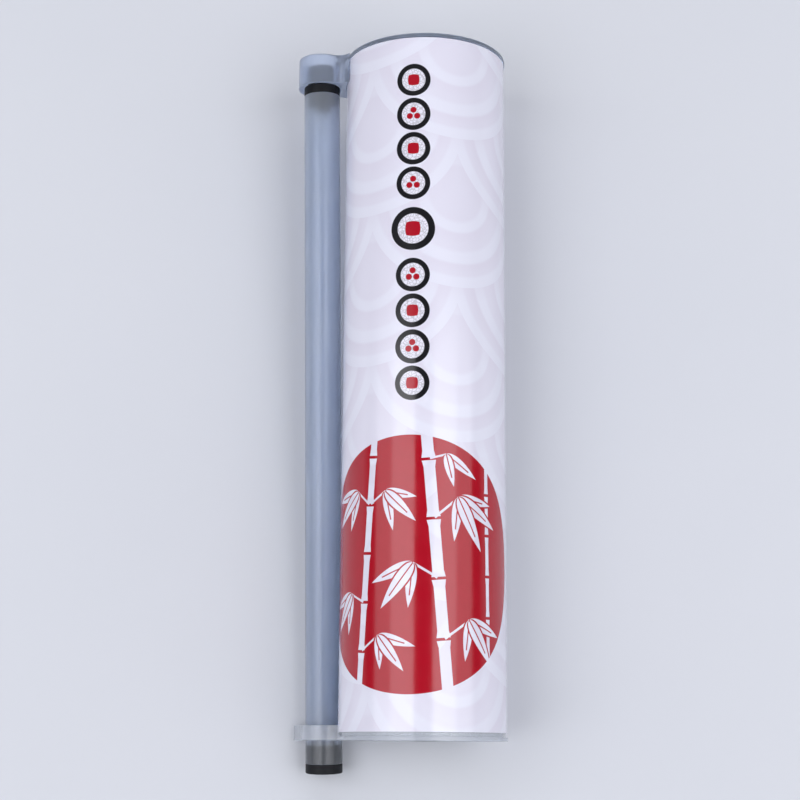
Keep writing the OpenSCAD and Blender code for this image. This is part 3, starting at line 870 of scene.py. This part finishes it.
def make_disc(white):
    """Push disc with two sealing beads, a socket for the stick, and ribs on its underside."""
    face_low = DISC_HEIGHT - DISC_PLATE
    bead_high = DISC_HEIGHT - BEAD_HEIGHT
    groove_r = DISC_R - BEAD_STEP
    skirt_in = groove_r - DISC_WALL
    socket_r = SOCKET_IN_R + SOCKET_WALL
    profile = eased([(0, face_low), (SOCKET_IN_R, face_low, SOCKET_EASE), (SOCKET_IN_R, 0), (socket_r, 0),
                     (socket_r, face_low, DISC_ROOT_EASE), (skirt_in, face_low, DISC_ROOT_EASE),
                     (skirt_in, 0), (DISC_R, 0), (DISC_R, BEAD_HEIGHT),
                     (groove_r, BEAD_HEIGHT, GROOVE_EASE), (groove_r, bead_high, GROOVE_EASE),
                     (DISC_R, bead_high), (DISC_R, DISC_HEIGHT, DISC_RIM_EASE), (0, DISC_HEIGHT)],
                    DISC_EASE, False)
    disc = link("push_disc_piece", turned_mesh("push_disc_piece", profile, False))
    tree, names = rib_tree(white)
    sunk = DISC_PLATE / 2
    grow(disc, tree, names, {"Count": RIB_COUNT, "From": SOCKET_IN_R + SOCKET_WALL / 2,
                             "To": skirt_in + DISC_WALL / 2, "Thickness": RIB_THICK,
                             "Height": RIB_HEIGHT + sunk, "Top": face_low + sunk,
                             "Pad Radius": PAD_R, "Pad Height": PAD_RISE + sunk})
    shade(disc)
    place(disc, LAY @ Matrix.Translation((0, 0, DISC_LOW)), "push_disc", (), "push_disc")


def make_stick(milky, black):
    """Sauce stick: its tube, the stopper at its foot and the drip stopper in its top."""
    def turned_piece(name, profile, closed):
        return shade(link(name, turned_mesh(name, profile, closed, STICK_STEPS)))

    inner = STICK_R - STICK_WALL
    wall = eased([(inner, 0), (STICK_R, 0), (STICK_R, STICK_LEN), (inner, STICK_LEN)], STICK_EASE, True)
    tube = turned_piece("stick_tube", wall, True)
    place(tube, STICK, "stick", (milky,), "sauce_tube")

    seal_r = PLUG_R + PLUG_PRESS
    plug_high = PLUG_LEN + FOOT_EXTRA
    foot = eased([(0, plug_high), (seal_r, plug_high, HEAD_BEVEL), (seal_r, 0, SEAT_EASE), (STICK_R, 0),
                  (STICK_R, -HEAD_LEN, HEAD_BEVEL), (0, -HEAD_LEN)], STOPPER_EASE, False)
    stopper = turned_piece("foot_stopper", foot, False)
    place(stopper, STICK, "bottom_stopper", (black,), "bottom_stopper")

    tip_low = -PLUG_LEN - TIP_LEN
    nub_high = HEAD_LEN + NUB_LEN
    drip = eased([(0, tip_low), (TIP_R, tip_low, TIP_EASE), (TIP_R, -PLUG_LEN, NECK_EASE),
                  (PLUG_R, -PLUG_LEN, HEAD_BEVEL), (PLUG_R, 0, SEAT_EASE), (STICK_R, 0),
                  (STICK_R, HEAD_LEN, HEAD_BEVEL), (NUB_R, HEAD_LEN, NECK_EASE),
                  (NUB_R, nub_high, HEAD_BEVEL), (0, nub_high)], STOPPER_EASE, False)
    stopper = turned_piece("drip_stopper", drip, False)
    stick_top = STICK @ Matrix.Translation((0, 0, STICK_LEN))
    place(stopper, stick_top, "top_stopper", (black,), "top_stopper")


# Table, light and camera, in metres and watts

DAYLIGHT = (0.955, 0.96, 1.0)
ROOM = (0.94, 0.955, 1.0, 1)
CEILING, END_WALL, HORIZON, FAR_GLOW = 0.1, 0.5, 0.62, 0.44
HORIZON_LOW, HORIZON_HIGH = 0.03, 0.13
TABLE_HALF, TABLE_ROUGH = 8.0, 0.7
TABLE_DARK, TABLE_LIGHT = colour(206, 209, 216), colour(212, 214, 220)
# Lamps over both sides of the tube: name, lean in degrees, width, power
SIDE_LAMPS = (("panel", 40, 1.05, 3.9), ("bright_strip", 28, 0.57, 2.1))
SIDE_LAMP_LONG, SIDE_LAMP_Y = 0.8, -0.15
FAR_LEAN, FAR_AWAY, FAR_WIDE, FAR_LONG, FAR_POWER = 47, 1.1, 0.9, 0.4, 2.1
SENSOR_WIDTH, FOCAL_LENGTH, NEAREST = 36.0, 76.68, 0.01
CAMERA_TILT, CAMERA_ROLL = -0.20416, -0.00728
CAMERA_X, CAMERA_Y, CAMERA_Z = -0.00677, -0.00317, 0.4721


def make_table():
    """Plain pale table top that takes the object's shadow and stays pale far off."""
    material, tree, shader = finish("pale_table")
    spot = object_place(tree)
    base = blend_colour(tree, noise(tree, spot, scale=9.0, detail=3.0), TABLE_DARK, TABLE_LIGHT)
    ray = put(tree, "ShaderNodeLightPath").outputs
    reflected = calc(tree, "ADD", ray["Is Glossy Ray"], ray["Is Transmission Ray"])
    seen = calc(tree, "ADD", ray["Is Camera Ray"], reflected, clamp=True)
    away = vector_calc(tree, "DOT_PRODUCT", spot, spot, output="Value")
    lamplit = calc(tree, "POWER", calc(tree, "ADD", away, 1.0), -2.0)
    glow = calc(tree, "MULTIPLY", spread(tree, lamplit, 0.0, 1.0, FAR_GLOW, 0.0), seen)
    lead(tree, shader, Base_Color=base, Emission_Strength=glow)
    fix(shader, Roughness=TABLE_ROUGH, Emission_Color=ROOM)
    bm = bmesh.new()
    bmesh.ops.create_grid(bm, x_segments=1, y_segments=1, size=TABLE_HALF)
    mesh = bpy.data.meshes.new("table")
    bm.to_mesh(mesh)
    bm.free()
    mesh.materials.append(material)
    link("table", mesh)


def hang_lamp(name, wide, long, power, spot, turn):
    """A soft rectangular lamp."""
    lamp = bpy.data.lights.new(name, "AREA")
    lamp.shape = "RECTANGLE"
    lamp.size = wide
    lamp.size_y = long
    lamp.energy = power
    lamp.color = DAYLIGHT
    panel = link(name, lamp)
    panel.location = spot
    panel.rotation_euler = turn


def make_light():
    """Lamps over both sides and beyond the lid, in a pale room that is brightest at its horizon."""
    for name, tilt, wide, power in SIDE_LAMPS:
        for side, hand in ((-1, "left"), (1, "right")):
            lean = math.radians(tilt) * side
            spot = (math.sin(lean), SIDE_LAMP_Y, math.cos(lean))
            hang_lamp(f"{name}_{hand}", wide, SIDE_LAMP_LONG, power, spot, (0, lean, 0))
    lean = math.radians(FAR_LEAN)
    spot = (0, FAR_AWAY * math.sin(lean), FAR_AWAY * math.cos(lean))
    hang_lamp("far_panel", FAR_WIDE, FAR_LONG, FAR_POWER, spot, (-lean, 0, 0))
    world = bpy.data.worlds.new("room")
    world.use_nodes = True
    tree = world.node_tree
    background = tree.nodes["Background"]
    _, along, up = parts(tree, put(tree, "ShaderNodeTexCoord").outputs["Generated"])
    ends = calc(tree, "MULTIPLY_ADD", calc(tree, "MULTIPLY", along, along), END_WALL, CEILING)
    horizon = spread(tree, up, HORIZON_LOW, HORIZON_HIGH, HORIZON, CEILING)
    lead(tree, background, Strength=calc(tree, "MAXIMUM", horizon, ends))
    fix(background, Color=ROOM)
    bpy.context.scene.world = world


def make_camera():
    """Camera above the foot of the tube, as in the photograph."""
    lens = bpy.data.cameras.new("camera")
    lens.sensor_width = SENSOR_WIDTH
    lens.lens = FOCAL_LENGTH
    lens.clip_start = NEAREST
    camera = link("camera", lens)
    turn = (Matrix.Rotation(CAMERA_ROLL, 3, "Z") @ Matrix.Rotation(CAMERA_TILT, 3, "X")).transposed()
    spot = Vector((barrel_middle.x + CAMERA_X, base_y + CAMERA_Y, barrel_middle.z + CAMERA_Z))
    camera.matrix_world = Matrix.Translation(spot) @ turn.to_4x4()
    bpy.context.scene.camera = camera


make_camera()
make_light()
make_table()

make_barrel(moulded("clear_wall", colour(228, 234, 240), colour(236, 241, 246), clear=0.0, rough=(0.08, 0.13),
                    grain=900.0, depth=0.00001, alpha=0.22))
make_wrap()
make_top_ring(moulded("clear_moulding", colour(213, 225, 246), colour(220, 231, 250), clear=0.84,
                      rough=(0.3, 0.38), grain=2500.0, depth=0.00001))
# The loop's plastic is clearer and less frosted than the collar's, and its colour is made lighter than the
# collar's as a painted highlight.
make_base_ring(moulded("clear_loop_painted_highlight", colour(234, 239, 248), colour(240, 244, 251), clear=0.7,
                       rough=(0.18, 0.24), grain=2500.0, depth=0.00001))
make_lid(moulded("clear_cap", colour(226, 233, 244), colour(232, 238, 247), clear=0.55, rough=(0.3, 0.37),
                 grain=2500.0, depth=0.00001))
make_disc(moulded("white_moulding", colour(232, 232, 228), colour(240, 240, 237), clear=0.0,
                  rough=(0.36, 0.46), grain=3000.0, depth=0.00002))
make_stick(frosted_tube(),
           moulded("black_stopper_skin", colour(13, 14, 18), colour(20, 21, 26), clear=0.0,
                   rough=(0.45, 0.58), grain=3500.0, depth=0.00003, gloss=0.25))

bpy.context.scene.view_settings.view_transform = "Standard"
